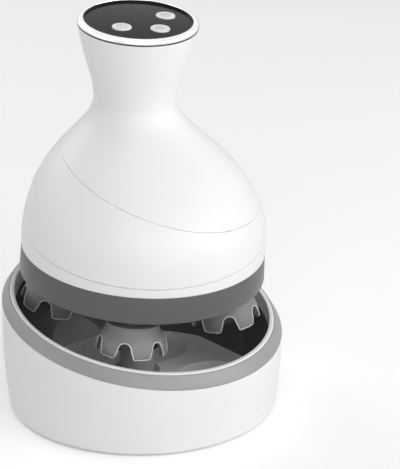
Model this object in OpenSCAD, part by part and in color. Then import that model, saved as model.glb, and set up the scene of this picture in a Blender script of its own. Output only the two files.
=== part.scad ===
/* [Dock] */
// Radius of the dock's outer wall at its foot
dock_foot_r = 64.5; // [63:0.5:66]
// Radius of the dock's outer wall at its rim
dock_rim_r = 67.1; // [66.5:0.1:70]
// Height of the grey bevel's lower edge on the dock's axis
dock_rim_h = 45.1; // [42:0.1:50]
// Slope of the rim, low at the front, in degrees
rim_slope = 11; // [8:0.5:12]
// Rise of the grey bevel above its lower edge
bevel_rise = 5.6; // [4:0.1:7]
// Inner radius of the white lip ring
lip_inner_r = 61; // [60.5:0.1:62]
// Wall of the dock's outer shell
dock_wall = 2.4; // [1.8:0.1:2.6]
// Height of the well's floor
floor_h = 12.1; // [11:0.1:14]
// Radius of the well's floor
floor_r = 53.8; // [53.5:0.1:54.5]
// Distance of the floor's four flats from the dock's axis
floor_flat = 51; // [50.5:0.1:52]
// Radius of each round dish in the well's floor
dish_r = 19; // [16:0.5:19]
// Depth of each dish
dish_depth = 2; // [1:0.1:2]
// Radius of the charging post
post_r = 8.5; // [7:0.5:8.5]

/* [Massager on its post] */
// Height of the massager's lower edge on the dock's axis
seat_h = 67.5; // [66:0.5:75]
// Forward lean of the post and of the massager on it, in degrees
seat_lean = 4.7; // [0:0.1:5]
// Turn of the massager about the post, in degrees
seat_turn = -5; // [-20:1:20]

/* [Massager body] */
// Radius of the grey band
band_r = 58; // [57:0.5:58]
// Height of the grey band
band_h = 13.4; // [12:0.1:14]
// Wall of the white shells
shell_wall = 2.2; // [1.6:0.1:2.4]
// How far the handle stands behind the bell's axis
handle_set_back = 12.3; // [8:0.1:13]
// Height of the body's top edge above the band's lower edge
body_top = 120.7; // [120.5:0.1:124]
// Radius of the body's top edge
top_r = 28.2; // [27.5:0.1:29]

/* [Buttons] */
// Radius of a button's cap
button_r = 4.6; // [4:0.1:5]
// Travel of a button
button_travel = 0.5; // [0.3:0.1:0.6]

/* [Massage heads] */
// Radius of a head at its claws' tips
head_r = 16.6; // [15:0.1:17]
// Outward splay of each head's axis, in degrees
head_splay = 9; // [5:0.5:9]
// Depth of the claws' tips below the band's lower edge
tip_drop = 21.7; // [20:0.1:22]
// Number of claws on a head
claws = 6; // [5:1:7]
// Height of the arch between two claws
arch_h = 7.4; // [6:0.1:8]

/* [Gear train] */
// Teeth of the central gear
sun_teeth = 46; // [44:1:46]
// Teeth of each head's gear
head_teeth = 26; // [24:1:26]
// Teeth of the motor's pinion
pinion_teeth = 14; // [13:1:14]
// Face width of the gears
gear_w = 3; // [2.6:0.1:3]
// Radius of a head's shaft
shaft_r = 3; // [2.5:0.1:3]

/* [Hidden] */

white = [0.94, 0.94, 0.95];
mid_grey = [0.62, 0.63, 0.64];
band_grey = [0.45, 0.45, 0.46];
dark_grey = [0.25, 0.25, 0.26];
silicone = [0.5, 0.51, 0.52];
steel = [0.75, 0.76, 0.78];
brass = [0.8, 0.66, 0.3];
nylon = [0.88, 0.88, 0.84];
board_green = [0.12, 0.4, 0.22];

$fn = 96;
big = 300;
// Length of a cutter that only has to go right through
through = 80;
running_gap = 0.05;
fit_gap = 0.15;
seat_gap = 0.02;

// Dock, derived
rim_rise = tan(rim_slope);
shell_foot_z = 0.4;
flare_h = 34;
lip_outer_r = dock_rim_r - 3.4;
lip_h = dock_rim_h + bevel_rise;
lip_foot_h = dock_rim_h - 2;
plate_z = 0.7;
plate_top = 2.2;
liner_top_r = lip_inner_r - 0.4;
liner_outer_r = dock_foot_r - dock_wall - 0.2;
liner_wall = 1.6;
liner_flare_z = 30;
flat_share = 0.65;
tray_t = 3.2;
dish_ring_r = 34.4;
foot_r = 6;
foot_ring_r = 52;
screw_r = 1.5;
screw_head_r = 3;
dock_screw_spots = [20, 160, 200, 340];
dock_screw_ring_r = 46;
inlet_z = 6.85;
inlet_w = 9;
inlet_h = 3.3;
inlet_gap = 0.6;
post_wall = 2;
pin_r = 0.7;
pin_spots = [0, 3.1];
dock_board_z = 3.4;
board_t = 1.6;

// Massager frame: its z is measured from the band's lower edge, along its own axis
floor_z = (floor_h - seat_h) / cos(seat_lean);
floor_shift = (seat_h - floor_h) * tan(seat_lean);
post_top_z = 2.9;
cap_t = 0.9;
socket_r = 11;
contact_t = 0.5;
socket_roof_z = post_top_z + 0.2;
plate_low = 3;
plate_high = 4.8;
deck_low = 5.6;
deck_high = 7.2;
sun_mid_z = 10;
cover_low = 17;
cover_high = 18.6;
inner_r = band_r - 2.4;
plate_r = inner_r - 0.3;
deck_r = inner_r - 0.2;
screw_ring_r = 46;
gear_module = 1;
backlash = 0.08;
pressure_angle = 20;
sun_r = sun_teeth * gear_module / 2;
head_gear_r = head_teeth * gear_module / 2;
pinion_r = pinion_teeth * gear_module / 2;
motor_reach = sun_r + pinion_r;
motor_r = 12;
motor_len = 28;
motor_wall = 1.2;
motor_shaft_r = 1;
motor_screw_reach = 8.5;
motor_screw_r = 1.2;
motor_z = cover_high + 0.2;
axle_r = 3;

// Head frame: origin on the plane of the claws' tips, x outwards, z up its own axis
gear_centre_r = sun_r + head_gear_r * cos(head_splay);
gear_centre_z = sun_mid_z + head_gear_r * sin(head_splay);
gear_up = (gear_centre_z + tip_drop) / cos(head_splay);
head_ring_r = gear_centre_r + gear_up * sin(head_splay);
head_wall = 2.2;
head_top = 14;
shaft_low = 9;
shaft_top = (cover_high - 0.4 + tip_drop) / cos(head_splay);
seal_r = 7;
head_azimuth = [-45, 45, 135, 225];
claw_phase = [13, 30, 47, 23];

// Handle, derived
panel_r = 25.4;
panel_top = body_top + 2.5;
panel_sag = 0.8;
panel_t = 2.4;
button_spots = [[-12.1, -2.8], [1.7, -13.8], [14.5, -2.2]];
board_z = 113.4;
switch_top = 118.9;
battery_r = 9.1;
battery_len = 65;
battery_z = 47;
cradle_wall = 1.8;

// Outline of the bell and the handle: height above the band's lower edge, radius
body_outline = [
  [band_h - 2, band_r], [22, band_r], [32, band_r - 1.5], [42, band_r - 5.2],
  [50, band_r - 10.3], [58, band_r - 17], [64, band_r - 23.2], [70, band_r - 29.4],
  [76, 23], [84, 19.4], [94, 20.7], [104, 23.8], [114, 26.6], [body_top, top_r]
];
// The handle's sideways S runs between these heights
bend_low = 28;
bend_high = 92;
// Slanted seams, as height on the axis, rise towards +x and rise towards +y
trim_seam = [24.5, 0.067, 0.094];
shell_seam = [51.8, -0.128, 0.222];

function smooth(t) = let (u = min(max(t, 0), 1)) u * u * (3 - 2 * u);
function set_back(z) = handle_set_back * smooth((z - bend_low) / (bend_high - bend_low));
function knot(i) = body_outline[min(max(i, 0), len(body_outline) - 1)];
function knot_slope(i) = (knot(i + 1)[1] - knot(i - 1)[1]) / (knot(i + 1)[0] - knot(i - 1)[0]);
function span_of(z) = min(len([for (k = body_outline) if (k[0] <= z) 1]), len(body_outline) - 1) - 1;
function hermite(a, b, sa, sb, t) =
  a * (2 * t * t * t - 3 * t * t + 1) + sa * (t * t * t - 2 * t * t + t)
  + b * (3 * t * t - 2 * t * t * t) + sb * (t * t * t - t * t);
function body_r(z) =
  let (i = max(span_of(z), 0), w = knot(i + 1)[0] - knot(i)[0], t = (z - knot(i)[0]) / w)
  hermite(knot(i)[1], knot(i + 1)[1], knot_slope(i) * w, knot_slope(i + 1) * w, t);

// Stands a piece in the leaning frame of the post
module on_post_axis() {
  translate([0, 0, seat_h])
    rotate([seat_lean, 0, 0])
      children();
}

// Stands a piece in the massager's frame
module on_massager() {
  on_post_axis()
    rotate([0, 0, seat_turn])
      children();
}

// Stands a piece in the frame of head number i
module on_head(i) {
  on_massager()
    rotate([0, 0, head_azimuth[i]])
      translate([head_ring_r, 0, -tip_drop])
        rotate([0, -head_splay, 0])
          children();
}

// Everything above a slanted plane, given by its height on the axis and its rises
module above(seam) {
  translate([0, 0, seam[0]])
    rotate(a = atan(norm([seam[1], seam[2]])), v = [seam[2], -seam[1], 0])
      translate([-big / 2, -big / 2, 0])
        cube([big, big, big]);
}

// A solid body of rings between two heights, thinner than the outline by inset
module body_loft(low, high, inset, sides, rings) {
  zs = [for (k = [0 : rings]) low + (high - low) * k / rings];
  points = [
    for (z = zs)
      for (s = [0 : sides - 1])
        let (a = 360 * s / sides, r = body_r(z) - inset)
          [r * cos(a), set_back(z) + r * sin(a), z]
  ];
  walls = [
    for (k = [0 : rings - 1])
      for (s = [0 : sides - 1])
        let (a = k * sides + s, b = k * sides + (s + 1) % sides)
          each [[a, a + sides, b], [b, a + sides, b + sides]]
  ];
  foot = [for (s = [0 : sides - 1]) s];
  roof = [for (s = [sides - 1 : -1 : 0]) rings * sides + s];
  polyhedron(points, concat(walls, [foot, roof]), convexity = 4);
}

// The hollow skin of the bell and handle between two heights
module body_skin(low, high, rings) {
  difference() {
    body_loft(low, high, 0, 72, rings);
    body_loft(low - 1, high + 0.5, shell_wall, 40, round(rings * 0.6));
  }
}

// A ring round the dock's axis whose section follows the sloping rim
module rim_ring(section) {
  sides = 96;
  count = len(section);
  points = [
    for (s = [0 : sides - 1])
      for (p = section)
        let (a = 360 * s / sides)
          [p[0] * cos(a), p[0] * sin(a), p[1] + rim_rise * p[0] * sin(a)]
  ];
  faces = [
    for (s = [0 : sides - 1])
      for (k = [0 : count - 1])
        let (t = (s + 1) % sides, n = (k + 1) % count)
          each [
            [s * count + k, s * count + n, t * count + k],
            [s * count + n, t * count + n, t * count + k]
          ]
  ];
  polyhedron(points, faces, convexity = 4);
}

module tube(outer, inner, low, high) {
  difference() {
    translate([0, 0, low])
      cylinder(r = outer, h = high - low);
    translate([0, 0, low - 1])
      cylinder(r = inner, h = high - low + 2);
  }
}

// Half the angle that a tooth takes at radius r, from the involute of its base circle
function involute(a) = tan(a) * 180 / PI - a;
function half_tooth(teeth, r) =
  let (base = teeth * gear_module / 2 * cos(pressure_angle))
  (90 - 360 * backlash / PI / gear_module) / teeth + involute(pressure_angle)
  - (r > base ? involute(acos(base / r)) : 0);

// The outline of one gear, with a tooth's middle at the angle phase
module gear(teeth, phase, low, high) {
  pitch_r = teeth * gear_module / 2;
  root_r = pitch_r - 1.3 * gear_module;
  base_r = pitch_r * cos(pressure_angle);
  tip_r = pitch_r + 0.85 * gear_module;
  radii = [root_r, max(base_r, root_r + 0.1), pitch_r - 0.1, pitch_r + 0.4, tip_r];
  outline = [
    for (k = [0 : teeth - 1])
      for (side = [-1, 1])
        for (j = [0 : 4])
          let (
            r = side < 0 ? radii[j] : radii[4 - j],
            a = phase + 360 * k / teeth + side * half_tooth(teeth, r)
          )
          [r * cos(a), r * sin(a)]
  ];
  translate([0, 0, low])
    linear_extrude(height = high - low)
      polygon(outline);
}

// How far the sun gear's nearest tooth lies past the direction a
function tooth_offset(a) = round(a * sun_teeth / 360) * 360 / sun_teeth - a;
// Tooth angle of a gear that meshes with the sun gear from the direction a
function meshed_phase(a, teeth, facing) =
  facing - tooth_offset(a) * sun_teeth / teeth + 180 / teeth;

// Dock -------------------------------------------------------------

module dock_shell() {
  steps = 8;
  outside = [
    for (k = [0 : steps])
      let (t = k / steps)
        [dock_rim_r - (dock_rim_r - dock_foot_r) * pow(1 - t, 2), shell_foot_z + 1.6 + flare_h * t]
  ];
  section = concat(
    [[dock_foot_r - 4, shell_foot_z], [dock_foot_r - 1.6, shell_foot_z]],
    [for (a = [-60 : 30 : -30]) [dock_foot_r - 1.6 + 1.6 * cos(a), shell_foot_z + 1.6 + 1.6 * sin(a)]],
    outside,
    [[dock_rim_r, 66], [dock_rim_r - dock_wall, 66], [dock_rim_r - dock_wall, flare_h],
     [dock_foot_r - dock_wall, 6], [dock_foot_r - dock_wall, plate_top + 0.1],
     [dock_foot_r - 4, plate_top + 0.1]]
  );
  color(white)
    difference() {
      rotate_extrude()
        polygon(section);
      above([dock_rim_h, 0, rim_rise]);
      translate([0, dock_rim_r, inlet_z])
        cube([inlet_w + 2 * inlet_gap, 20, inlet_h + 2 * inlet_gap], center = true);
    }
}

module dock_bevel_band() {
  color(mid_grey)
    rim_ring([
      [lip_outer_r - 0.4, dock_rim_h], [dock_rim_r, dock_rim_h], [dock_rim_r, dock_rim_h + 0.3],
      [lip_outer_r, lip_h], [lip_outer_r - 0.4, lip_h]
    ]);
}

module dock_lip_ring() {
  color(white)
    rim_ring([
      [lip_inner_r, lip_foot_h], [lip_outer_r - 0.45, lip_foot_h], [lip_outer_r - 0.45, lip_h],
      [lip_outer_r - 0.8, lip_h + 0.5], [lip_inner_r + 0.5, lip_h + 0.5], [lip_inner_r, lip_h]
    ]);
}

// The space inside the well, from low upwards. It is round, but four flats leave it
// nearly square at the floor; they lean outwards and run out into the round wall.
// It is wider than the floor by foot and wider than the liner's mouth by top.
module well_space(low, foot, top) {
  flat_rise = flat_share * (liner_flare_z - floor_h);
  cone_run = liner_top_r + top - floor_r - foot;
  flat_run = floor_r - floor_flat + flat_share * cone_run;
  reach = floor_flat + foot;
  far = reach + 4 * flat_run;
  rotate([0, 0, seat_turn])
    intersection() {
      rotate_extrude()
        polygon([
          [0, low], [floor_r + foot, low], [floor_r + foot, floor_h],
          [liner_top_r + top, liner_flare_z], [liner_top_r + top, through], [0, through]
        ]);
      intersection_for(a = [0, 90])
        rotate([90, 0, a])
          translate([0, 0, -big / 2])
            linear_extrude(height = big)
              polygon([
                [-reach, low - 1], [reach, low - 1], [reach, floor_h], [far, floor_h + 4 * flat_rise],
                [far, through + 1], [-far, through + 1], [-far, floor_h + 4 * flat_rise],
                [-reach, floor_h]
              ]);
    }
}

module dock_liner() {
  color(dark_grey)
    difference() {
      well_space(floor_h - tray_t, liner_wall, liner_outer_r - liner_top_r);
      well_space(1, fit_gap, 0);
      above([lip_foot_h, 0, rim_rise]);
    }
}

module dock_floor_tray() {
  boss_h = floor_h - tray_t - plate_top + 0.1;
  color(mid_grey)
    difference() {
      union() {
        intersection() {
          translate([0, 0, floor_h - tray_t])
            cylinder(r = floor_r, h = tray_t);
          rotate([0, 0, seat_turn])
            cube([2 * floor_flat, 2 * floor_flat, 3 * floor_h], center = true);
        }
        for (a = dock_screw_spots)
          translate([dock_screw_ring_r * cos(a), dock_screw_ring_r * sin(a), plate_top])
            cylinder(r = screw_r + 1.7, h = boss_h);
      }
      for (a = [45 : 90 : 315])
        rotate([0, 0, a + seat_turn])
          translate([dish_ring_r, 0, floor_h - dish_depth])
            dish_cut();
      translate([0, floor_shift, 0])
        cylinder(r = post_r - post_wall - 1.5, h = through);
      for (a = dock_screw_spots)
        translate([dock_screw_ring_r * cos(a), dock_screw_ring_r * sin(a), 0])
          cylinder(r = screw_r + running_gap, h = 5.5);
    }
}

// A shallow round dish, as a cap of a large ball
module dish_cut() {
  ball_r = (dish_r * dish_r + dish_depth * dish_depth) / (2 * dish_depth);
  intersection() {
    translate([0, 0, ball_r])
      sphere(r = ball_r);
    cylinder(r = dish_r + 1, h = dish_depth + 1);
  }
}

module charging_post() {
  color(mid_grey)
    difference() {
      union() {
        on_post_axis()
          translate([0, 0, floor_z - 3])
            cylinder(r = post_r, h = post_top_z - cap_t - floor_z + 3);
        translate([0, floor_shift, floor_h])
          cylinder(r = post_r + 3, h = 1.6);
      }
      on_post_axis()
        translate([0, 0, floor_z - 6])
          cylinder(r = post_r - post_wall, h = through);
      translate([-big / 2, -big / 2, floor_h - big])
        cube([big, big, big]);
    }
}

module post_cap() {
  color(dark_grey)
    on_post_axis()
      difference() {
        union() {
          translate([0, 0, post_top_z - cap_t])
            cylinder(r = post_r, h = cap_t);
          translate([0, 0, post_top_z - 5])
            cylinder(r = post_r - post_wall - seat_gap, h = 5);
        }
        for (x = pin_spots)
          translate([x, 0, post_top_z - 6])
            cylinder(r = pin_r + running_gap, h = 8);
      }
}

module charging_pins() {
  color(brass)
    on_post_axis()
      for (x = pin_spots)
        translate([x, 0, post_top_z - 6]) {
          cylinder(r = pin_r, h = 6.1);
          cylinder(r = pin_r + 0.4, h = 0.9);
        }
}

module dock_circuit_board() {
  color(board_green)
    translate([-13, 30, dock_board_z])
      cube([26, 25.6, board_t]);
  color(board_green)
    for (x = [-9, 9])
      translate([x, 34, plate_top])
        cylinder(r = 1.6, h = dock_board_z - plate_top);
  color(dark_grey)
    translate([-9, 38, dock_board_z + board_t])
      cube([7, 6, 1.4]);
  color(brass)
    translate([4, 36, dock_board_z + board_t])
      cube([5, 5, 2]);
}

module inlet_socket() {
  wall = 0.4;
  color(steel)
    difference() {
      translate([0, 59.6, inlet_z])
        cube([inlet_w + 2 * wall, 9.4, inlet_h + 2 * wall - 0.4], center = true);
      translate([0, 62, inlet_z])
        cube([inlet_w, 12, inlet_h - 0.4], center = true);
    }
  color(dark_grey)
    translate([0, 58.4, inlet_z])
      cube([6.6, 6, 0.7], center = true);
}

module dock_base_plate() {
  color(mid_grey)
    difference() {
      translate([0, 0, plate_z])
        cylinder(r = dock_foot_r - 4.1, h = plate_top - plate_z);
      for (a = [45 : 90 : 315])
        translate([foot_ring_r * cos(a), foot_ring_r * sin(a), 0])
          cylinder(r = foot_r + 0.1, h = plate_z + 0.6);
      for (a = dock_screw_spots)
        translate([dock_screw_ring_r * cos(a), dock_screw_ring_r * sin(a), 0]) {
          cylinder(r = screw_r + running_gap, h = 5);
          cylinder(r = screw_head_r + 0.1, h = plate_z + 0.8);
        }
    }
}

module dock_feet() {
  color(dark_grey)
    for (a = [45 : 90 : 315])
      translate([foot_ring_r * cos(a), foot_ring_r * sin(a), 0])
        cylinder(r = foot_r, h = plate_z + 0.6);
}

module dock_screws() {
  color(steel)
    for (a = dock_screw_spots)
      translate([dock_screw_ring_r * cos(a), dock_screw_ring_r * sin(a), 0]) {
        translate([0, 0, plate_z + 0.1])
          cylinder(r = screw_head_r, h = 0.7);
        translate([0, 0, plate_z + 0.5])
          cylinder(r = screw_r, h = 3.4);
      }
}

// Massager shells --------------------------------------------------

module upper_shell() {
  color(white)
    on_massager()
      intersection() {
        body_skin(36, body_top, 25);
        above(shell_seam);
      }
}

module lower_shell() {
  color(white)
    on_massager()
      difference() {
        intersection() {
          body_skin(14, 72, 16);
          above(trim_seam);
        }
        above(shell_seam);
      }
}

module trim_ring() {
  color(white)
    on_massager()
      difference() {
        tube(band_r, inner_r, band_h, 40);
        above(trim_seam);
      }
}

module grey_band() {
  color(band_grey)
    on_massager() {
      rotate_extrude()
        polygon([
          [inner_r - 2.2, 0.8], [inner_r + 0.6, 0.8], [band_r - 0.4, 0], [band_r + 0.4, 0.5],
          [band_r, band_h], [inner_r, band_h], [inner_r, plate_low - 0.6], [inner_r - 2.2, plate_low - 0.6]
        ]);
    }
}

module underside_gasket() {
  color(dark_grey)
    on_massager()
      tube(inner_r - 0.2, inner_r - 2, plate_low - 0.6, plate_low);
}

module underside_plate() {
  color(dark_grey) {
    on_massager()
      difference() {
        union() {
          translate([0, 0, plate_low])
            cylinder(r = plate_r, h = plate_high - plate_low);
          for (a = [0 : 90 : 270])
            rotate([0, 0, a])
              translate([screw_ring_r, 0, plate_high])
                cylinder(r = 4, h = deck_low - plate_high);
        }
        cylinder(r = socket_r + 0.1, h = through);
        for (a = [0 : 90 : 270])
          rotate([0, 0, a])
            translate([screw_ring_r, 0, 0]) {
              cylinder(r = screw_r + running_gap, h = through);
              cylinder(r = screw_head_r + 0.1, h = plate_low + 0.9);
            }
        for (i = [0 : 3])
          rotate([0, 0, head_azimuth[i]])
            translate([head_ring_r, 0, -tip_drop])
              rotate([0, -head_splay, 0])
                cylinder(r = seal_r + seat_gap, h = through);
      }
  }
}

module underside_screws() {
  color(steel)
    on_massager()
      for (a = [0 : 90 : 270])
        rotate([0, 0, a])
          translate([screw_ring_r, 0, 0]) {
            translate([0, 0, plate_low - 0.4])
              cylinder(r = screw_head_r, h = 1.2);
            translate([0, 0, plate_low])
              cylinder(r = screw_r, h = 12);
          }
}

// Rubber seals round the heads' shafts, in the underside plate
module shaft_seals() {
  w = ((plate_low + plate_high) / 2 + tip_drop) / cos(head_splay);
  color(dark_grey)
    for (i = [0 : 3])
      on_head(i)
        tube(seal_r, shaft_r + running_gap, w - 0.5, w + 0.5);
}

module post_socket() {
  color(dark_grey)
    on_massager() {
      difference() {
        translate([0, 0, -2.6])
          cylinder(r = socket_r, h = plate_high + 2.6);
        translate([0, 0, -3])
          cylinder(r = post_r + 0.4, h = 3 + socket_roof_z);
        translate([0, 0, socket_roof_z - 1])
          cylinder(r = 4, h = 1.5);
      }
      tube(socket_r + 3, socket_r - 1, plate_high, deck_low - 0.1);
    }
}

module socket_contacts() {
  color(brass)
    on_massager() {
      translate([0, 0, socket_roof_z])
        cylinder(r = 1.4, h = contact_t);
      tube(3.95, 2.2, socket_roof_z, socket_roof_z + contact_t);
    }
}

// Gear train -------------------------------------------------------

module gearbox_deck() {
  color(nylon)
    on_massager()
      difference() {
        translate([0, 0, deck_low])
          cylinder(r = deck_r, h = deck_high - deck_low);
        cylinder(r = axle_r + seat_gap, h = through);
        for (a = [0 : 90 : 270])
          rotate([0, 0, a])
            translate([screw_ring_r, 0, 0])
              cylinder(r = screw_r + running_gap, h = through);
        for (i = [0 : 3])
          rotate([0, 0, head_azimuth[i]])
            translate([head_ring_r, 0, -tip_drop])
              rotate([0, -head_splay, 0])
                cylinder(r = shaft_r + running_gap, h = through);
      }
}

module gearbox_cover() {
  color(nylon)
    on_massager()
      difference() {
        union() {
          translate([0, 0, cover_low])
            cylinder(r = deck_r, h = cover_high - cover_low);
          for (a = [0 : 90 : 270])
            rotate([0, 0, a])
              translate([screw_ring_r, 0, deck_high])
                cylinder(r = 3.6, h = cover_low - deck_high + 0.5);
        }
        cylinder(r = axle_r + seat_gap, h = through);
        for (a = [0 : 90 : 270])
          rotate([0, 0, a])
            translate([screw_ring_r, 0, 0])
              cylinder(r = screw_r + running_gap, h = plate_low + 13);
        translate([0, -motor_reach, 0])
          cylinder(r = 3.4, h = through);
        for (side = [-1, 1])
          translate([side * motor_screw_reach, -motor_reach, 0])
            cylinder(r = motor_screw_r + running_gap, h = through);
        for (i = [0 : 3])
          rotate([0, 0, head_azimuth[i]])
            translate([head_ring_r, 0, -tip_drop])
              rotate([0, -head_splay, 0])
                cylinder(r = shaft_r + running_gap, h = through);
      }
}

module sun_gear_axle() {
  color(steel)
    on_massager()
      translate([0, 0, deck_low])
        cylinder(r = axle_r, h = cover_high - deck_low);
}

module sun_gear() {
  color(nylon)
    on_massager()
      difference() {
        union() {
          gear(sun_teeth, 0, sun_mid_z - gear_w / 2, sun_mid_z + gear_w / 2);
          translate([0, 0, deck_high + 0.2])
            cylinder(r = 6, h = cover_low - deck_high - 0.4);
        }
        cylinder(r = axle_r + running_gap, h = through);
        for (a = [30 : 60 : 330])
          rotate([0, 0, a])
            translate([14, 0, 0])
              cylinder(r = 4, h = through);
      }
}

module motor_pinion() {
  color(brass)
    on_massager()
      translate([0, -motor_reach, 0])
        difference() {
          gear(pinion_teeth, meshed_phase(-90, pinion_teeth, 90), sun_mid_z - 2.2, sun_mid_z + 2.2);
          cylinder(r = motor_shaft_r, h = through);
        }
}

module motor_armature() {
  color(steel)
    on_massager()
      translate([0, -motor_reach, 0]) {
        translate([0, 0, sun_mid_z - 2.4])
          cylinder(r = motor_shaft_r, h = motor_z + motor_len - sun_mid_z + 2.4);
        translate([0, 0, motor_z + 6])
          cylinder(r = 8.6, h = 15);
      }
}

module motor_can() {
  color(steel)
    on_massager()
      translate([0, -motor_reach, motor_z])
        difference() {
          union() {
            cylinder(r = motor_r, h = motor_len);
            translate([0, 0, -0.2])
              cylinder(r = 3.2, h = 1);
          }
          translate([0, 0, motor_wall + 0.2])
            cylinder(r = motor_r - motor_wall, h = motor_len - 2 * motor_wall - 0.4);
          translate([0, 0, -2])
            cylinder(r = motor_shaft_r + running_gap, h = motor_len + 4);
          for (side = [-1, 1])
            translate([side * motor_screw_reach, 0, -1])
              cylinder(r = motor_screw_r + running_gap, h = 3.4);
        }
}

module motor_screws() {
  color(steel)
    on_massager()
      for (side = [-1, 1])
        translate([side * motor_screw_reach, -motor_reach, 0]) {
          translate([0, 0, cover_low - 1])
            cylinder(r = motor_screw_r + 0.9, h = 1);
          translate([0, 0, cover_low - 0.5])
            cylinder(r = motor_screw_r, h = 3.4);
        }
}

// Massage heads ----------------------------------------------------

// One arch between two claws, cut outwards along +x
module arch_cut() {
  width = head_r * PI * 2 / claws;
  top_r = width * 0.19;
  rotate([90, 0, 90])
    linear_extrude(height = head_r + 4) {
      translate([0, arch_h - top_r])
        circle(r = top_r, $fn = 32);
      polygon([
        [-width * 0.31, -1], [width * 0.31, -1], [width * 0.26, 1.6],
        [top_r, arch_h - top_r], [-top_r, arch_h - top_r], [-width * 0.26, 1.6]
      ]);
    }
}

module massage_head(i) {
  inside = head_r - head_wall;
  color(silicone)
    on_head(i)
      difference() {
        union() {
          rotate_extrude()
            polygon([
              [shaft_r, 9.5], [inside - 3.5, 9.5], [inside - 1.4, 7], [inside, 0], [head_r - 0.3, 0],
              [head_r, 0.6], [head_r - 0.2, 3], [head_r - 0.8, 5.6], [head_r - 2, 8.2],
              [head_r - 3.3, 10.2], [head_r - 4.1, 12], [head_r - 4.3, 13.2], [head_r - 3.9, 13.4],
              [head_r - 3.9, head_top], [head_r - 4.5, head_top + 0.2], [8, head_top + 0.2],
              [7.4, head_top + 2.6], [shaft_r, head_top + 2.6]
            ]);
          for (k = [0 : claws - 1])
            for (side = [-7, 7])
              rotate([0, 0, claw_phase[i] + 360 * k / claws + side])
                translate([head_r - 1.2, 0, -1.2])
                  cylinder(r = 0.6, h = 2);
        }
        for (k = [0 : claws - 1])
          rotate([0, 0, claw_phase[i] + 360 * (k + 0.5) / claws])
            arch_cut();
      }
}

module head_shaft(i) {
  color(steel)
    on_head(i) {
      translate([0, 0, shaft_low])
        cylinder(r = shaft_r, h = shaft_top - shaft_low);
      tube(6.4, shaft_r - 0.5, head_top + 2.6, head_top + 5.4);
    }
}

module head_gear(i) {
  phase = meshed_phase(head_azimuth[i], head_teeth, 180);
  color(nylon)
    on_head(i)
      difference() {
        union() {
          gear(head_teeth, phase, gear_up - gear_w / 2, gear_up + gear_w / 2);
          translate([0, 0, gear_up - gear_w / 2 - 0.6])
            cylinder(r = 5, h = gear_w + 1.2);
        }
        cylinder(r = shaft_r, h = through);
      }
}

// Handle -----------------------------------------------------------

module battery_cell() {
  color([0.2, 0.45, 0.6])
    on_massager()
      translate([0, handle_set_back, battery_z]) {
        cylinder(r = battery_r, h = battery_len);
        translate([0, 0, battery_len])
          cylinder(r = 3, h = 0.8);
      }
}

module battery_cradle() {
  color(nylon)
    on_massager()
      translate([0, handle_set_back, 0]) {
        translate([0, 0, battery_z - 2.4])
          cylinder(r = battery_r + cradle_wall, h = 2.4);
        tube(battery_r + cradle_wall, battery_r + 0.1, battery_z - 0.2, battery_z + 14);
        translate([0, 0, cover_high])
          cylinder(r = 7, h = battery_z - 2.2 - cover_high);
      }
}

module main_circuit_board() {
  y = handle_set_back + 7;
  color(board_green)
    on_massager()
      translate([-16, y, cover_high])
        cube([32, board_t, 23]);
  color(dark_grey)
    on_massager()
      translate([-6, y + board_t - 0.1, 28])
        cube([9, 1.6, 9]);
  color(brass)
    on_massager()
      for (x = [-13, 7])
        translate([x, y + board_t - 0.1, 23])
          cube([5, 2.4, 4]);
}

module chrome_ring() {
  color(steel)
    on_massager()
      translate([0, handle_set_back, body_top])
        rotate_extrude()
          polygon([
            [panel_r + 0.1, 0], [top_r, 0], [top_r + 0.15, 0.6], [top_r, 1.4], [top_r - 0.5, 2.2],
            [top_r - 1.2, 2.8], [top_r - 1.9, 3], [panel_r + 0.4, 2.95], [panel_r + 0.1, 2.8]
          ]);
}

module control_panel() {
  color([0.08, 0.08, 0.09])
    on_massager()
      translate([0, handle_set_back, 0])
        difference() {
          union() {
            rotate_extrude()
              polygon([
                [0, panel_top - panel_t], [panel_r, panel_top - panel_t], [panel_r, panel_top - panel_sag],
                [panel_r * 0.7, panel_top - panel_sag * 0.49], [panel_r * 0.35, panel_top - panel_sag * 0.12],
                [0, panel_top]
              ]);
            for (a = [90, 215, 325])
              rotate([0, 0, a])
                translate([19, 0, board_z + board_t])
                  cylinder(r = 2, h = panel_top - panel_t - board_z - board_t + 0.5);
          }
          for (p = button_spots)
            translate([p[0], p[1], board_z - 1])
              cylinder(r = button_r + 0.2, h = through);
        }
}

module button_board() {
  color(board_green)
    on_massager()
      translate([0, handle_set_back, board_z])
        cylinder(r = 21.5, h = board_t);
}

module button_switches() {
  foot_z = board_z + board_t;
  on_massager()
    translate([0, handle_set_back, 0])
      for (p = button_spots)
        translate([p[0], p[1], 0]) {
          color(dark_grey)
            translate([-3, -3, foot_z])
              cube([6, 6, 3.2]);
          color(white)
            translate([0, 0, foot_z])
              cylinder(r = 1.7, h = switch_top - foot_z);
        }
}

module button(k) {
  cap_top = panel_top + 0.25;
  p = button_spots[k];
  color(white)
    on_massager()
      translate([p[0], handle_set_back + p[1], 0]) {
        translate([0, 0, cap_top - 2.2])
          cylinder(r = button_r, h = 2.2);
        translate([0, 0, switch_top + button_travel + 0.1])
          cylinder(r = 2.2, h = cap_top - 2.1 - switch_top - button_travel - 0.1);
      }
}

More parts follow.
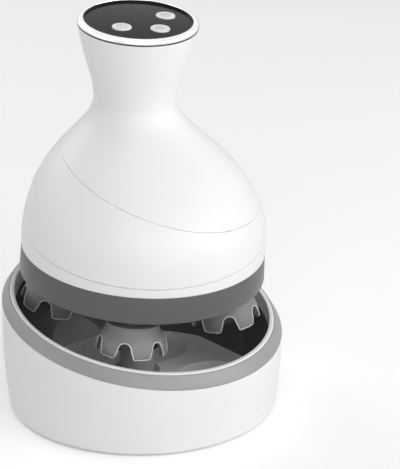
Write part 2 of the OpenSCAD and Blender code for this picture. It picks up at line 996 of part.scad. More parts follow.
dock_shell();
dock_bevel_band();
dock_lip_ring();
dock_liner();
dock_floor_tray();
charging_post();
post_cap();
charging_pins();
dock_circuit_board();
inlet_socket();
dock_base_plate();
dock_feet();
dock_screws();
upper_shell();
lower_shell();
trim_ring();
grey_band();
underside_plate();
underside_gasket();
underside_screws();
post_socket();
socket_contacts();
gearbox_deck();
gearbox_cover();
sun_gear_axle();
shaft_seals();
motor_can();
motor_screws();
battery_cell();
battery_cradle();
main_circuit_board();
chrome_ring();
control_panel();
button_board();
button_switches();
button(0);  // left_button
button(1);  // front_button
button(2);  // right_button
sun_gear();
motor_armature();
motor_pinion();
massage_head(0);  // front_right_head
head_shaft(0);  // front_right_shaft
head_gear(0);  // front_right_gear
massage_head(1);  // back_right_head
head_shaft(1);  // back_right_shaft
head_gear(1);  // back_right_gear
massage_head(2);  // back_left_head
head_shaft(2);  // back_left_shaft
head_gear(2);  // back_left_gear
massage_head(3);  // front_left_head
head_shaft(3);  // front_left_shaft
head_gear(3);  // front_left_gear
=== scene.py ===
import math

import bpy
from mathutils import Matrix, Vector


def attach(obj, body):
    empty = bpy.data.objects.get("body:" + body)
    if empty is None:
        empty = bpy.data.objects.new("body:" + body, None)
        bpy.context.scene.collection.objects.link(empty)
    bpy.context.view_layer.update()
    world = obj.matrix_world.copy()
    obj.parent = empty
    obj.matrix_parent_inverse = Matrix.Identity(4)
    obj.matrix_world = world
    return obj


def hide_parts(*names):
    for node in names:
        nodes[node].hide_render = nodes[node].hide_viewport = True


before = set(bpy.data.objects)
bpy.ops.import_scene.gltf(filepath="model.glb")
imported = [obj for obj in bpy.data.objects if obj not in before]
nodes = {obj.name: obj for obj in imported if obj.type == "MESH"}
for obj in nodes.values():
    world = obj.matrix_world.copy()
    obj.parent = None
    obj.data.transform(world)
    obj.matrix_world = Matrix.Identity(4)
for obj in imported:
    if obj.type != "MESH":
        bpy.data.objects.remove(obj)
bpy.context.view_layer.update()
scene = bpy.context.scene
scene.view_settings.view_transform = "Standard"


# ---------------------------------------------------------------------------
# The studio: a long lens that looks down on the dock's low front, a pale floor
# that runs out to white, and large soft lamps all round that are stronger on
# the right, so that every round piece turns darker towards its left side.

CAMERA_PLACE = (-0.8413, -0.8616, 0.5684)
CAMERA_TILT = math.radians(90 - 21.86)
CAMERA_TURN = math.radians(-45.635)
CAMERA_LENS = 209.6
CLIP_END = 20
camera_data = bpy.data.cameras.new("camera")
camera_data.lens = CAMERA_LENS
camera_data.clip_end = CLIP_END
camera = bpy.data.objects.new("camera", camera_data)
camera.location = CAMERA_PLACE
camera.rotation_euler = (CAMERA_TILT, 0, CAMERA_TURN)
scene.collection.objects.link(camera)
scene.camera = camera

FLOOR_SIDE = 9.0
FLOOR_DROP = 0.0002
bpy.ops.object.select_all(action="DESELECT")
bpy.ops.mesh.primitive_plane_add(size=FLOOR_SIDE, location=(0, 0, -FLOOR_DROP))
floor = bpy.context.object
floor.name = "floor"

PAPER_TONE = (0.9, 0.9, 0.9, 1)
PAPER_ROUGHNESS = 0.7
PAPER_SHINE = 0.1
PAPER_GLOW = 0.2
WHITE = (1, 1, 1, 1)
floor_paper = bpy.data.materials.new("floor_paper")
floor_paper.use_nodes = True
paper = floor_paper.node_tree
paper_shader = paper.nodes["Principled BSDF"]
paper_shader.inputs["Base Color"].default_value = PAPER_TONE
paper_shader.inputs["Roughness"].default_value = PAPER_ROUGHNESS
paper_shader.inputs["Specular IOR Level"].default_value = PAPER_SHINE
paper_glow = paper.nodes.new("ShaderNodeEmission")
paper_glow.inputs["Color"].default_value = WHITE
paper_sum = paper.nodes.new("ShaderNodeAddShader")
paper_path = paper.nodes.new("ShaderNodeLightPath")
paper_level = paper.nodes.new("ShaderNodeMath")
paper_level.operation = "MULTIPLY"
paper_level.inputs[1].default_value = PAPER_GLOW
paper.links.new(paper_path.outputs["Is Camera Ray"], paper_level.inputs[0])
paper.links.new(paper_level.outputs[0], paper_glow.inputs["Strength"])
paper.links.new(paper_shader.outputs[0], paper_sum.inputs[0])
paper.links.new(paper_glow.outputs[0], paper_sum.inputs[1])
paper.links.new(paper_sum.outputs[0], paper.nodes["Material Output"].inputs["Surface"])
floor.data.materials.append(floor_paper)

SKY_FILL = 0.14
SKY_SEEN = 1.0
world = bpy.data.worlds.new("studio")
scene.world = world
world.use_nodes = True
sky = world.node_tree
sky_fill = sky.nodes["Background"]
sky_fill.inputs["Color"].default_value = WHITE
sky_fill.inputs["Strength"].default_value = SKY_FILL
sky_white = sky.nodes.new("ShaderNodeBackground")
sky_white.inputs["Color"].default_value = WHITE
sky_white.inputs["Strength"].default_value = SKY_SEEN
sky_mix = sky.nodes.new("ShaderNodeMixShader")
sky_path = sky.nodes.new("ShaderNodeLightPath")
sky_seen = sky_path.outputs["Is Camera Ray"]
for ray in ("Is Glossy Ray", "Is Transmission Ray"):
    sky_either = sky.nodes.new("ShaderNodeMath")
    sky_either.operation = "MAXIMUM"
    sky.links.new(sky_seen, sky_either.inputs[0])
    sky.links.new(sky_path.outputs[ray], sky_either.inputs[1])
    sky_seen = sky_either.outputs[0]
sky.links.new(sky_seen, sky_mix.inputs["Fac"])
sky.links.new(sky_fill.outputs[0], sky_mix.inputs[1])
sky.links.new(sky_white.outputs[0], sky_mix.inputs[2])
sky.links.new(sky_mix.outputs[0], sky.nodes["World Output"].inputs["Surface"])

TOWARDS = Vector((0, 0, 0.09))
LAMP_SIZE = (0.9, 0.8)
# Each lamp: its name, its place in metres and its power in watts
for name, place, power in (
        ("right", (0.71, -1.13, 0.62), 6.8),
        ("right_back", (1.34, -0.35, 0.9), 2.7),
        ("front_right", (0.0, -1.3, 0.85), 5.4),
        ("front_top", (-0.88, -0.88, 0.95), 3.6),
        ("front_low", (-0.74, -1.17, 0.3), 3.0),
        ("left", (-1.1, 0.81, 0.7), 1.6),
        ("left_low", (-1.27, 0.43, 0.15), 2.4),
        ("left_back", (-0.07, 1.34, 0.9), 6.4),
        ("top", (0.0, 0.0, 1.6), 3.7)):
    lamp_data = bpy.data.lights.new(name, "AREA")
    lamp_data.shape = "RECTANGLE"
    lamp_data.size, lamp_data.size_y = LAMP_SIZE
    lamp_data.energy = power
    lamp = bpy.data.objects.new(name, lamp_data)
    lamp.location = place
    lamp.rotation_euler = (TOWARDS - Vector(place)).to_track_quat("-Z", "Y").to_euler()
    scene.collection.objects.link(lamp)


# ---------------------------------------------------------------------------
# Dock shell: one white moulded wall, a little wider at its top, cut off by a
# rim that is low at the front and high at the back. It is glossy ABS with a
# faint orange-peel skin, and has the power inlet's opening at the back.

MM = 0.001
RIM_SLOPE = math.radians(11)
RIM_RISE = math.tan(RIM_SLOPE)
RIM_H = 45.1
DOCK_FOOT_R = 64.5
DOCK_RIM_R = 67.1
FLARE_H = 34.0
WALL_T = 2.4
WALL_TOP = 60
FOOT_Z = 0.4
FOOT_ROUND = 1.6
FOOT_TURN_IN = 3.9
WALL_Z = FOOT_Z + FOOT_ROUND
EDGE_ROUND = 0.3
INLET_PLACE = (0, 0.0665, 0.0069)
INLET_SIZE = (0.0102, 0.014, 0.0045)
INLET_ROUND = 1.2


class Signal:
    """A value that changes over a surface; arithmetic on it adds Math nodes."""

    def __init__(self, finish, socket):
        self.finish = finish
        self.socket = socket

    def combine(self, operation, first, second):
        return self.finish.node("Math", {"operation": operation}, {0: first, 1: second})

    def __add__(self, other):
        return self.combine("ADD", self, other)

    def __mul__(self, other):
        return self.combine("MULTIPLY", self, other)

    def __sub__(self, other):
        return self.combine("SUBTRACT", self, other)

    def __rsub__(self, other):
        return self.combine("SUBTRACT", other, self)

    __radd__ = __add__
    __rmul__ = __mul__


class Finish:
    """The material of one surface, started from its shader's fixed values."""

    def __init__(self, name, fixed):
        self.material = bpy.data.materials.new(name)
        self.material.use_nodes = True
        self.tree = self.material.node_tree
        self.shader = self.tree.nodes["Principled BSDF"]
        for socket, value in fixed.items():
            self.shader.inputs[socket].default_value = value
        self.place = self.node("TexCoord", output="Object")

    def feed(self, socket, value):
        if isinstance(value, Signal):
            self.tree.links.new(value.socket, socket)
        else:
            socket.default_value = value

    def node(self, kind, settings=None, values=None, output=0):
        made = self.tree.nodes.new("ShaderNode" + kind)
        for name, value in (settings or {}).items():
            setattr(made, name, value)
        for name, value in (values or {}).items():
            self.feed(made.inputs[name], value)
        return Signal(self, made.outputs[output])

    def noise(self, scale, detail=3.0):
        return self.node("TexNoise", {}, {
            "Vector": self.place, "Scale": scale, "Detail": detail})

    def between(self, low, high, amount):
        """A colour that goes from low to high with amount."""
        return self.node("Mix", {"data_type": "RGBA"},
                         {0: amount, 6: (*low, 1), 7: (*high, 1)}, output=2)

    def drive(self, socket, value):
        self.feed(self.shader.inputs[socket], value)

    def bump(self, height, distance, strength=1.0):
        self.drive("Normal", self.node("Bump", {}, {
            "Height": height, "Distance": distance, "Strength": strength}, output="Normal"))


PLASTIC_IOR = 1.5
CLOUD_SCALE = 18.0
PALER = 1.03
DEEPER = 0.96
WEAR_SCALE = 60.0
WEAR = 0.06


def moulded_plastic(name, tone, roughness, grain, depth):
    """Moulded plastic: a colour that wanders a little, and a fine skin."""
    finish = Finish(name, {"IOR": PLASTIC_IOR})
    cloud = finish.noise(CLOUD_SCALE)
    pale = [min(1.0, c * PALER) for c in tone]
    deep = [c * DEEPER for c in tone]
    finish.drive("Base Color", finish.between(deep, pale, cloud))
    finish.drive("Roughness", roughness + WEAR * (finish.noise(WEAR_SCALE) - 0.5))
    finish.bump(finish.noise(grain, 2.0), depth)
    return finish.material


gloss_white = moulded_plastic("gloss_white", (0.83, 0.83, 0.84), 0.42, 900.0, 0.000008)


def dressed(piece, material, body, slot, *replaced):
    """Gives a finished piece its material and its body, and hides the CAD nodes it replaces."""
    piece.data.materials.clear()
    piece.data.materials.append(material)
    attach(piece, body)
    if replaced:
        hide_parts(*replaced)
    return piece


SAME_R = 1e-9
WELD = 1e-6


def turned(name, outline, around=128, slope=0.0, closed=True):
    """A round piece: a circle in the rim's slope, drawn from point to point of
    an outline of (radius, height) or (radius, height, set-back), in mm."""
    points = [(p[0], p[1], p[2] if len(p) > 2 else 0.0) for p in outline]
    bpy.ops.object.select_all(action="DESELECT")
    r, z, y = points[0]
    bpy.ops.mesh.primitive_circle_add(vertices=around, radius=r * MM,
                                      location=(0, y * MM, z * MM))
    piece = bpy.context.object
    piece.name = name
    bpy.ops.object.transform_apply()
    bpy.ops.object.mode_set(mode="EDIT")
    bpy.ops.mesh.select_all(action="SELECT")
    if slope:
        middle = (0, y * MM, z * MM)
        bpy.ops.transform.resize(value=(1, 1 / math.cos(slope), 1), center_override=middle)
        bpy.ops.transform.rotate(value=-slope, orient_axis="X",
                                 center_override=middle)
    run = points[1:] + points[:1] if closed else points[1:]
    for r1, z1, y1 in run:
        bpy.ops.mesh.extrude_region_move(
            TRANSFORM_OT_translate={"value": (0, (y1 - y) * MM, (z1 - z) * MM)})
        if abs(r1 - r) > SAME_R:
            bpy.ops.transform.resize(value=(r1 / r,) * 3,
                                     center_override=(0, y1 * MM, z1 * MM))
        r, z, y = r1, z1, y1
    bpy.ops.mesh.select_all(action="SELECT")
    bpy.ops.mesh.remove_doubles(threshold=WELD)
    bpy.ops.mesh.normals_make_consistent(inside=False)
    bpy.ops.object.mode_set(mode="OBJECT")
    return piece


def cut_away(piece, point, normal, fill=False):
    """Cuts a piece with a plane and drops what is on the normal's side."""
    bpy.ops.object.select_all(action="DESELECT")
    bpy.context.view_layer.objects.active = piece
    piece.select_set(True)
    bpy.ops.object.mode_set(mode="EDIT")
    bpy.ops.mesh.select_all(action="SELECT")
    bpy.ops.mesh.bisect(plane_co=point, plane_no=normal, clear_outer=True, use_fill=fill)
    bpy.ops.object.mode_set(mode="OBJECT")


def modified(piece, kind, **settings):
    """Adds a modifier with these settings and applies it."""
    bpy.ops.object.select_all(action="DESELECT")
    bpy.context.view_layer.objects.active = piece
    piece.select_set(True)
    modifier = piece.modifiers.new(kind.lower(), kind)
    for name, value in settings.items():
        setattr(modifier, name, value)
    bpy.ops.object.modifier_apply(modifier=modifier.name)


def smoothed(piece, angle=35):
    bpy.ops.object.select_all(action="DESELECT")
    bpy.context.view_layer.objects.active = piece
    piece.select_set(True)
    bpy.ops.object.shade_smooth_by_angle(angle=math.radians(angle))


def softened(piece, width, angle=35, segments=3):
    """Rounds every edge that is sharper than angle, and shades the piece."""
    modified(piece, "BEVEL", width=width * MM, segments=segments,
             limit_method="ANGLE", angle_limit=math.radians(angle),
             use_clamp_overlap=True, harden_normals=False)
    smoothed(piece)


def dock_r(z):
    """Radius of the dock's outer wall at a height."""
    short = max(0, 1 - (z - WALL_Z) / FLARE_H)
    return DOCK_RIM_R - (DOCK_RIM_R - DOCK_FOOT_R) * short ** 2


wall_outline = [(DOCK_FOOT_R - FOOT_TURN_IN, FOOT_Z), (DOCK_FOOT_R - FOOT_ROUND, FOOT_Z)]
wall_outline += [(DOCK_FOOT_R - FOOT_ROUND * (1 - math.sin(a)), WALL_Z - FOOT_ROUND * math.cos(a))
                 for a in (math.radians(d) for d in (15, 35, 55, 75, 90))]
wall_outline += [(dock_r(z), z) for z in (4, 7, 10, 14, 18, 22, 26, 30, 34, WALL_TOP)]
dock_shell = turned("dock_wall", wall_outline, around=192, closed=False)
cut_away(dock_shell, (0, 0, RIM_H * MM), (0, -RIM_RISE, 1))
modified(dock_shell, "SOLIDIFY", thickness=WALL_T * MM, offset=-1, use_rim=True)
bpy.ops.object.select_all(action="DESELECT")
bpy.ops.mesh.primitive_cube_add(size=1, location=INLET_PLACE, scale=INLET_SIZE)
inlet_cutter = bpy.context.object
bpy.ops.object.transform_apply()
modified(inlet_cutter, "BEVEL", width=INLET_ROUND * MM, segments=3)
modified(dock_shell, "BOOLEAN", operation="DIFFERENCE", object=inlet_cutter)
bpy.data.objects.remove(inlet_cutter)
softened(dock_shell, EDGE_ROUND)
dressed(dock_shell, gloss_white, "dock", "gloss_white", "dock_shell")


# ---------------------------------------------------------------------------
# Rim of the dock: a grey bevelled ring on the wall's cut edge and a narrow
# white lip inside it. Both are moulded rings whose section follows the slope
# of the rim, clipped in after the dark liner.

LIP_FOOT_H = 43.1
satin_grey = moulded_plastic("satin_grey", (0.30, 0.30, 0.305), 0.38, 1400.0, 0.000012)

bevel_band = turned("rim_bevel", [
    (63.3, 45.2), (66.9, 45.15), (67.12, 45.4), (67.0, 45.9), (64.1, 50.4), (63.8, 50.7),
    (63.3, 50.7)],
    around=192, slope=RIM_SLOPE)
smoothed(bevel_band)
dressed(bevel_band, satin_grey, "dock", "satin_grey", "dock_bevel_band")

lip_ring = turned("rim_lip", [
    (61.0, LIP_FOOT_H), (63.2, LIP_FOOT_H), (63.25, 50.6), (63.1, 51.0), (62.8, 51.2),
    (61.5, 51.2), (61.15, 51.05), (61.0, 50.7)], around=192, slope=RIM_SLOPE)
smoothed(lip_ring)
dressed(lip_ring, gloss_white, "dock", "gloss_white", "dock_lip_ring")


# ---------------------------------------------------------------------------
# Well of the dock: a dark satin liner, round at its mouth and nearly square at
# its foot, where four flats lean into it, and a flat grey tray across the foot.
# Four shallow round dishes are moulded into the tray, one under each head.

SEAT_TURN = math.radians(-5)
FLOOR_H = 12.1
FLOOR_R = 53.8
FLOOR_FLAT = 51.0
FLAT_LEAN = math.radians(31.5)
LINER_R = 60.6
LINER_FLARE_Z = 30
LINER_CUT_Z = 10.5
LINER_T = 1.2
LINER_GAP = 0.15
CORNER_ROUND = 3
TRAY_FOOT_Z = 8.9
TRAY_ROUND = 0.4
POST_HOLE_R = 5.0
POST_SHIFT = 4.55
DISH_R = 19.0
DISH_RING_R = 34.4
liner_grey = moulded_plastic("liner_grey", (0.1, 0.1, 0.103), 0.36, 1400.0, 0.000012)
tray_grey = moulded_plastic("tray_grey", (0.92, 0.92, 0.92), 0.3, 1400.0, 0.00001)
post_grey = moulded_plastic("post_grey", (0.4, 0.4, 0.4), 0.4, 1400.0, 0.00001)


def with_flats(piece, reach, lean):
    """Cuts four flats onto a round piece, at a distance from the dock's axis
    at the floor's height, and turns it as the heads are turned."""
    for side in range(4):
        out = Matrix.Rotation(math.radians(90 * side), 3, "Z")
        cut_away(piece, out @ Vector((reach * MM, 0, FLOOR_H * MM)),
                 out @ Vector((math.cos(lean), 0, -math.sin(lean))), fill=True)
    piece.data.transform(Matrix.Rotation(SEAT_TURN, 4, "Z"))


liner = turned("well_liner", [(0.05, 8), (52.4, 8), (LINER_R, LINER_FLARE_Z), (LINER_R, 62)],
               around=192, closed=False)
with_flats(liner, FLOOR_FLAT + LINER_GAP, FLAT_LEAN)
cut_away(liner, (0, 0, LINER_CUT_Z * MM), (0, 0, -1))
cut_away(liner, (0, 0, LIP_FOOT_H * MM), (0, -RIM_RISE, 1))
modified(liner, "BEVEL", width=CORNER_ROUND * MM, segments=4, limit_method="ANGLE",
         angle_limit=math.radians(6))
modified(liner, "SOLIDIFY", thickness=LINER_T * MM, offset=1, use_rim=True)
smoothed(liner)
dressed(liner, liner_grey, "dock", "dark_grey", "dock_liner")

tray = turned("well_floor", [
    (FLOOR_R, TRAY_FOOT_Z), (FLOOR_R, FLOOR_H), (POST_HOLE_R, FLOOR_H, POST_SHIFT),
    (POST_HOLE_R, TRAY_FOOT_Z, POST_SHIFT)], around=192)
with_flats(tray, FLOOR_FLAT, 0.0)
for turn in (45, 135, 225, 315):
    dish = turned("dish", [
        (0.05, -2.0), (DISH_R - 5, -1.9), (DISH_R - 2.6, -1.5), (DISH_R - 0.8, -0.5),
        (DISH_R, 0.3), (DISH_R, 3), (0.05, 3)], around=96)
    dish.data.transform(Matrix.Rotation(SEAT_TURN + math.radians(turn), 4, "Z")
                        @ Matrix.Translation((DISH_RING_R * MM, 0, FLOOR_H * MM)))
    modified(tray, "BOOLEAN", operation="DIFFERENCE", object=dish)
    bpy.data.objects.remove(dish)
softened(tray, TRAY_ROUND, angle=20)
dressed(tray, tray_grey, "dock", "satin_grey", "dock_floor_tray")


# ---------------------------------------------------------------------------
# Bell and handle: two white shells of one smooth waisted form, parted along a
# slanting plane, over a white strip and the grey band round the foot. They
# are glossy ABS, clipped together, and the joints show as fine grooves.

SEAT_H = 67.5
LEAN = math.radians(4.7)
ON_MASSAGER = (Matrix.Translation((0, 0, SEAT_H * MM)) @ Matrix.Rotation(LEAN, 4, "X")
               @ Matrix.Rotation(SEAT_TURN, 4, "Z"))
SET_BACK = 12.3
BODY_TOP = 120.7
BODY_FOOT = 13.4
BODY_KNOTS = [(11.4, 58.0), (22, 58.0), (32, 56.5), (42, 52.8), (50, 47.7), (58, 41.0),
              (64, 34.8), (70, 28.6), (76, 23.0), (84, 19.4), (94, 20.7), (104, 23.8),
              (114, 26.6), (BODY_TOP, 28.2)]
BEND_LOW = 28
BEND_RUN = 64
SHELL_T = 2.2
SHELL_EDGE_ROUND = 0.15
TRIM_SEAM = (24.5, 0.067, 0.094)
SHELL_SEAM = (51.8, -0.128, 0.222)


def body_r(z):
    """Radius of the bell or handle, on smooth curves through the knots."""
    last = len(BODY_KNOTS) - 1
    i = max(k for k in range(last) if BODY_KNOTS[k][0] <= z or k == 0)

    def slope(k):
        (z0, r0), (z1, r1) = BODY_KNOTS[max(k - 1, 0)], BODY_KNOTS[min(k + 1, last)]
        return (r1 - r0) / (z1 - z0)

    (z0, r0), (z1, r1) = BODY_KNOTS[i], BODY_KNOTS[i + 1]
    w = z1 - z0
    t = (z - z0) / w
    return (r0 * (2 * t ** 3 - 3 * t ** 2 + 1) + slope(i) * w * (t ** 3 - 2 * t ** 2 + t)
            + r1 * (3 * t ** 2 - 2 * t ** 3) + slope(i + 1) * w * (t ** 3 - t ** 2))


def set_back(z):
    t = min(max((z - BEND_LOW) / BEND_RUN, 0), 1)
    return SET_BACK * t * t * (3 - 2 * t)


def body_sheet(name, low, high, step=1.6):
    """The bell's and handle's surface between two heights, as one open sheet."""
    count = round((high - low) / step)
    heights = [low + (high - low) * k / count for k in range(count + 1)]
    return turned(name, [(body_r(z), z, set_back(z)) for z in heights],
                  around=192, closed=False)


def seam_cut(piece, seam, gap, keep_above):
    """Cuts a piece along a slanting seam, leaving half the groove's gap."""
    side = -1 if keep_above else 1
    height = seam[0] - side * gap / 2
    normal = Vector((-seam[1], -seam[2], 1)) * side
    cut_away(piece, (0, 0, height * MM), normal)


SHELL_GROOVE = 0.1
TRIM_GROOVE = 0.3
shells = {"upper_shell": body_sheet("handle_shell", 30, BODY_TOP),
          "lower_shell": body_sheet("bell_shell", BODY_FOOT, 76),
          "trim_ring": body_sheet("white_strip", 13.45, 40)}
seam_cut(shells["upper_shell"], SHELL_SEAM, SHELL_GROOVE, True)
seam_cut(shells["lower_shell"], SHELL_SEAM, SHELL_GROOVE, False)
seam_cut(shells["lower_shell"], TRIM_SEAM, TRIM_GROOVE, True)
seam_cut(shells["trim_ring"], TRIM_SEAM, TRIM_GROOVE, False)
for node, shell in shells.items():
    modified(shell, "SOLIDIFY", thickness=SHELL_T * MM, offset=-1, use_rim=True)
    softened(shell, SHELL_EDGE_ROUND)
    shell.data.transform(ON_MASSAGER)
    dressed(shell, gloss_white, "massager", "gloss_white", node)

BAND_EDGE_ROUND = 0.12
band_grey = moulded_plastic("band_grey", (0.1, 0.1, 0.102), 0.32, 1400.0, 0.000012)
band = turned("grey_foot_band", [
    (53.4, 0.8), (56.2, 0.8), (57.2, 0.1), (57.9, 0.05), (58.3, 0.35), (58.4, 0.8),
    (58.2, 6.0), (58.0, 13.1), (57.8, 13.35), (55.6, 13.35), (55.6, 2.4), (53.4, 2.4)],
    around=192)
softened(band, BAND_EDGE_ROUND)
band.data.transform(ON_MASSAGER)
dressed(band, band_grey, "massager", "band_grey", "grey_band")


# ---------------------------------------------------------------------------
# Top of the handle: a bright plated ring over a thin black strip of painted
# shadow and painted dark reflection, round a glossy black panel that is slightly
# domed and lies a little below the ring's edge.
# Three round white button caps with faint grey signs stand in its holes.

ON_TOP = ON_MASSAGER @ Matrix.Translation((0, SET_BACK * MM, BODY_TOP * MM))
RING_SMOOTH = 50
HOLE_R = 4.75
CAP_R = 4.6
CAP_TOP = 2.75
CAP_STEM_R = 2.2
CAP_STEM_Z = -1.2
SIGN_T = 0.1
plated = Finish("plated", {"Base Color": (0.9, 0.9, 0.91, 1), "Metallic": 1.0})
plated.drive("Roughness", 0.1 + 0.06 * plated.noise(220.0))
plated.bump(plated.noise(420.0), 0.000004)

ring = turned("plated_ring", [
    (25.5, 0.5), (27.8, 0.55), (28.2, 0.75), (28.35, 1.1), (28.25, 1.6), (27.9, 2.15), (27.3, 2.6),
    (26.6, 2.9), (26.0, 2.98), (25.6, 2.9), (25.5, 2.7)], around=192)
smoothed(ring, RING_SMOOTH)
ring.data.transform(ON_TOP)
dressed(ring, plated.material, "massager", "chrome", "chrome_ring")

# The black strip under the ring is painted shadow of the gap there and painted dark reflection of
# the chrome's lower edge.
painted_shadow_black = moulded_plastic("painted_shadow_black", (0.01, 0.01, 0.01), 0.5, 900.0, 0.000004)
painted_shadow_strip = turned("ring_painted_shadow", [
    (25.6, 0.01), (28.1, 0.01), (28.15, 0.3), (28.0, 0.65), (25.6, 0.65)], around=192)
smoothed(painted_shadow_strip, RING_SMOOTH)
painted_shadow_strip.data.transform(ON_TOP)
dressed(painted_shadow_strip, painted_shadow_black, "massager", "seal_rubber")

panel_black = Finish("panel_black", {"Specular IOR Level": 0.06, "IOR": PLASTIC_IOR})
panel_black.drive("Base Color", panel_black.between(
    (0.013, 0.013, 0.014), (0.017, 0.017, 0.018), panel_black.noise(60.0)))
panel_black.drive("Roughness", 0.12 + 0.05 * panel_black.noise(200.0))
panel = turned("black_panel", [
    (0.05, 2.5), (6, 2.46), (12, 2.32), (18, 2.08), (22, 1.88), (24.4, 1.74), (24.9, 1.74),
    (25.1, 1.9), (25.2, 2.6), (25.45, 2.7), (25.45, 0.1), (0.05, 0.1)], around=192)
smoothed(panel)
button_white = moulded_plastic("button_white", (0.85, 0.85, 0.85), 0.3, 900.0, 0.000006)
sign_grey = moulded_plastic("sign_grey", (0.42, 0.42, 0.43), 0.4, 900.0, 0.000004)
# Each cap: its node, its place on the panel, and its sign's bars as (x, y, width, length)
for node, x, y, bars in (("left_button", -12.1, -2.8, ((0, 1.1, 0.4, 1.6),)),
                         ("front_button", 1.7, -13.8, ((0, 0, 0.45, 3.4), (0, 0, 3.4, 0.45))),
                         ("right_button", 14.5, -2.2,
                          ((-0.7, 0, 0.5, 2.8), (0.7, 0, 0.5, 2.8)))):
    hole = turned("hole", [(0.05, -1), (HOLE_R, -1), (HOLE_R, 6), (0.05, 6)], around=64)
    hole.data.transform(Matrix.Translation((x * MM, y * MM, 0)))
    modified(panel, "BOOLEAN", operation="DIFFERENCE", object=hole)
    bpy.data.objects.remove(hole)
    cap = turned(node + "_cap", [
        (0.05, CAP_TOP), (3.4, CAP_TOP), (4.1, CAP_TOP - 0.03), (4.45, CAP_TOP - 0.14),
        (CAP_R, CAP_TOP - 0.4), (CAP_R, CAP_TOP - 2.2), (CAP_STEM_R, CAP_TOP - 2.2),
        (CAP_STEM_R, CAP_STEM_Z), (0.05, CAP_STEM_Z)], around=64)
    smoothed(cap)
    cap.data.materials.append(button_white)
    signs = [turned("sign", [
        (2.0, CAP_TOP - 0.02), (2.0, CAP_TOP + 0.03), (2.35, CAP_TOP + 0.03),
        (2.35, CAP_TOP - 0.02)], around=48)]
    for bar_x, bar_y, bar_w, bar_l in bars:
        bpy.ops.object.select_all(action="DESELECT")
        bpy.ops.mesh.primitive_cube_add(
            size=1, location=(bar_x * MM, bar_y * MM, CAP_TOP * MM),
            scale=(bar_w * MM, bar_l * MM, SIGN_T * MM))
        signs.append(bpy.context.object)
        bpy.ops.object.transform_apply()
    bpy.ops.object.select_all(action="DESELECT")
    for sign in signs:
        sign.data.materials.clear()
        sign.data.materials.append(sign_grey)
        sign.select_set(True)
    cap.select_set(True)
    bpy.context.view_layer.objects.active = cap
    bpy.ops.object.join()
    cap.data.transform(ON_TOP @ Matrix.Translation((x * MM, y * MM, 0)))
    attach(cap, node)
    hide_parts(node)
panel.data.transform(ON_TOP)
dressed(panel, panel_black.material, "massager", "gloss_black", "control_panel")


# ---------------------------------------------------------------------------
# Massage heads: soft grey silicone cups that end in six broad claws, with an
# arch between each two, a fine bead along every edge that is light grey as a
# painted highlight, a ring inside that is dark as painted shade, and two nubs
# under each claw. Each is pushed onto the steel shaft that turns it.

silicone = Finish("silicone", {"IOR": 1.42})
silicone.drive("Base Color", silicone.between(
    (0.2, 0.2, 0.205), (0.24, 0.24, 0.245), silicone.noise(40.0)))
silicone.drive("Roughness", 0.42 + 0.1 * silicone.noise(90.0))
silicone.bump(silicone.noise(1500.0), 0.00001)
# The bead's light grey is a painted highlight along each claw's rounded edge.
painted_highlight_grey = Finish("silicone_painted_highlight", {})
painted_highlight_grey.drive("Base Color", painted_highlight_grey.between(
    (0.52, 0.52, 0.53), (0.6, 0.6, 0.61), painted_highlight_grey.noise(60.0)))
painted_highlight_grey.drive("Roughness", 0.35 + 0.1 * painted_highlight_grey.noise(90.0))
# A darker copy of the silicone: painted shade for the ring in each cup's hollow.
silicone_painted_shade = moulded_plastic("silicone_painted_shade", (0.06, 0.06, 0.062), 0.5, 1500.0, 0.00001)

CLAWS = 6
ARCH_H = 7.4
ARCH_TOP_R = 3.3
ARCH_REACH = 15
ARCH_DEPTH = 12
BEAD_R = 0.36
NUB_RING_R = 15.4
NUB_TURN = 6.5
HEAD_SPLAY = math.radians(9)
TIP_DROP = 21.7
TIP_RING_R = 41.18
# Each head's place round the massager and its claws' turn, in degrees
heads = {"front_right": (-45, 13), "back_right": (45, 30),
         "back_left": (135, 47), "front_left": (225, 23)}


def arch_cutter():
    """A bar along x whose section is an arch: feet that spread, a round top."""
    top_z = (ARCH_H - ARCH_TOP_R) * MM
    profile = [(-1.0, 5.4), (-0.1, 5.1), (0.15, 4.75), (0.6, 4.5), (1.3, 4.3), (2.4, 4.0)]
    profile += [(ARCH_H - ARCH_TOP_R + ARCH_TOP_R * math.sin(a), ARCH_TOP_R * math.cos(a))
                for a in (math.radians(d) for d in (0, 15, 30, 45, 60, 75, 87))]
    z, half = profile[0]
    bpy.ops.object.select_all(action="DESELECT")
    bpy.ops.mesh.primitive_plane_add(size=1, location=(ARCH_REACH * MM, 0, z * MM))
    cutter = bpy.context.object
    cutter.scale = (ARCH_DEPTH * MM, 2 * half * MM, 1)
    bpy.ops.object.transform_apply()
    bpy.ops.object.mode_set(mode="EDIT")
    bpy.ops.mesh.select_all(action="SELECT")
    for z1, half1 in profile[1:]:
        bpy.ops.mesh.extrude_region_move(
            TRANSFORM_OT_translate={"value": (0, 0, (z1 - z) * MM)})
        bpy.ops.transform.resize(value=(1, half1 / half, 1),
                                 center_override=(ARCH_REACH * MM, 0, z1 * MM))
        z, half = z1, half1
    bpy.ops.mesh.select_all(action="SELECT")
    bpy.ops.mesh.normals_make_consistent(inside=False)
    bpy.ops.object.mode_set(mode="OBJECT")
    return cutter


def skirt_r(z):
    """Radius of the head's outer skin at a height above the claws' tips."""
    run = [(0.0, 16.3), (0.5, 16.6), (3.0, 16.4), (5.6, 15.8), (8.2, 14.6), (10.2, 13.3)]
    for (z0, r0), (z1, r1) in zip(run, run[1:]):
        if z <= z1:
            return r0 + (r1 - r0) * (z - z0) / (z1 - z0)
    return run[-1][1]


